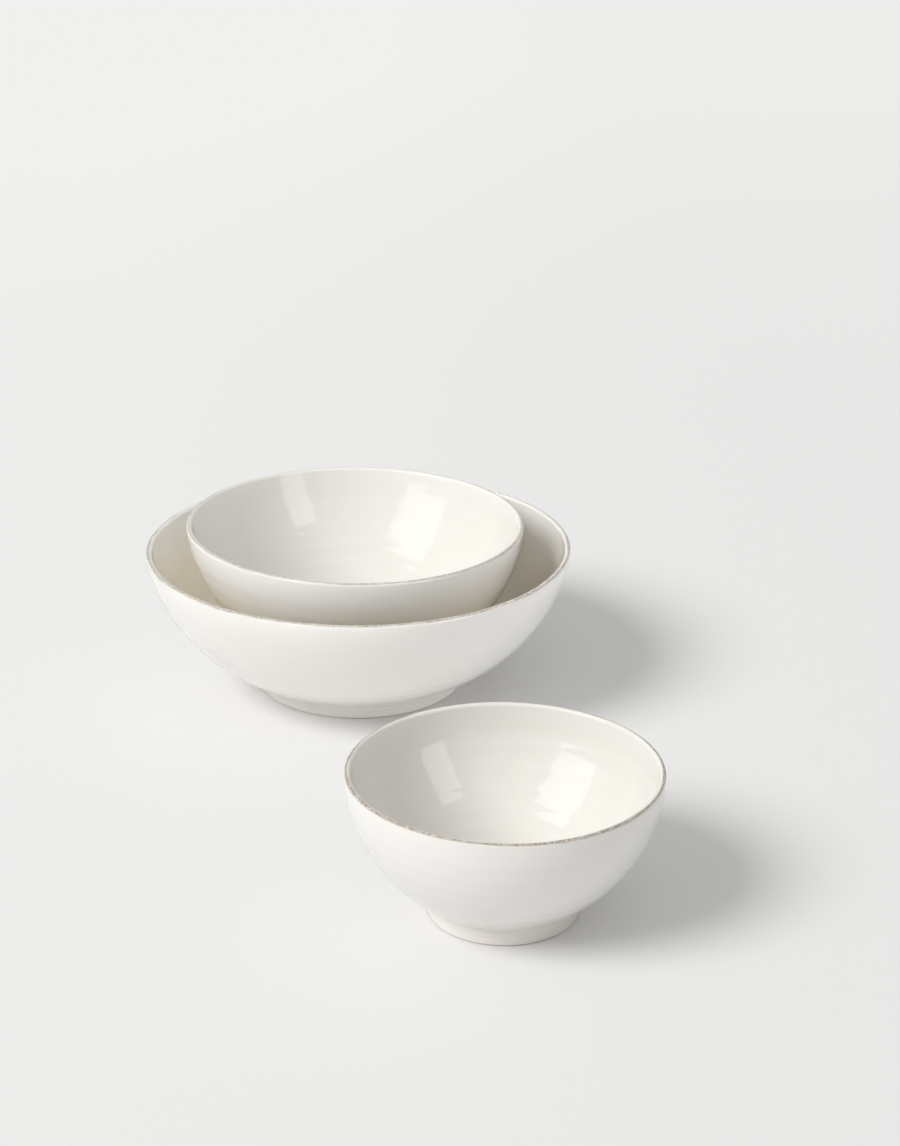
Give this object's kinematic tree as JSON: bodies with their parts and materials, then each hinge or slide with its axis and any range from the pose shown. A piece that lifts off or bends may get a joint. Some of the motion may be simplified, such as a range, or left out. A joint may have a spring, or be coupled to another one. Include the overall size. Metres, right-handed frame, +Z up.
{
  "type": "nesting bowl set",
  "caption": "Set of round glazed stoneware bowls on foot rings, in graded sizes: the medium nested in the largest, the smallest standing beside them.",
  "frame": {"origin": "centre of the large bowl's foot ring, on the table it stands on", "axes": "+Z up along the bowls' upright axes; the small bowl stands towards -Y and a little towards +X"},
  "size_m": [0.289, 0.4917, 0.1014],
  "materials": {
    "large_bowl_glaze": "gloss",
    "medium_bowl_glaze": "gloss",
    "small_bowl_glaze": "gloss"
  },
  "bodies": {
    "large_bowl": {"large_bowl": "large_bowl_glaze"},
    "medium_bowl": {"medium_bowl": "medium_bowl_glaze"},
    "small_bowl": {"small_bowl": "small_bowl_glaze"}
  },
  "joints": [
    {"name": "medium_bowl_lift", "type": "slide", "parent": "large_bowl", "child": "medium_bowl", "axis": [0, 0, 1], "range_m": [0, 0.1]},
    {"name": "small_bowl_lift", "type": "slide", "parent": "large_bowl", "child": "small_bowl", "axis": [0, 0, 1], "range_m": [0, 0.1]}
  ]
}
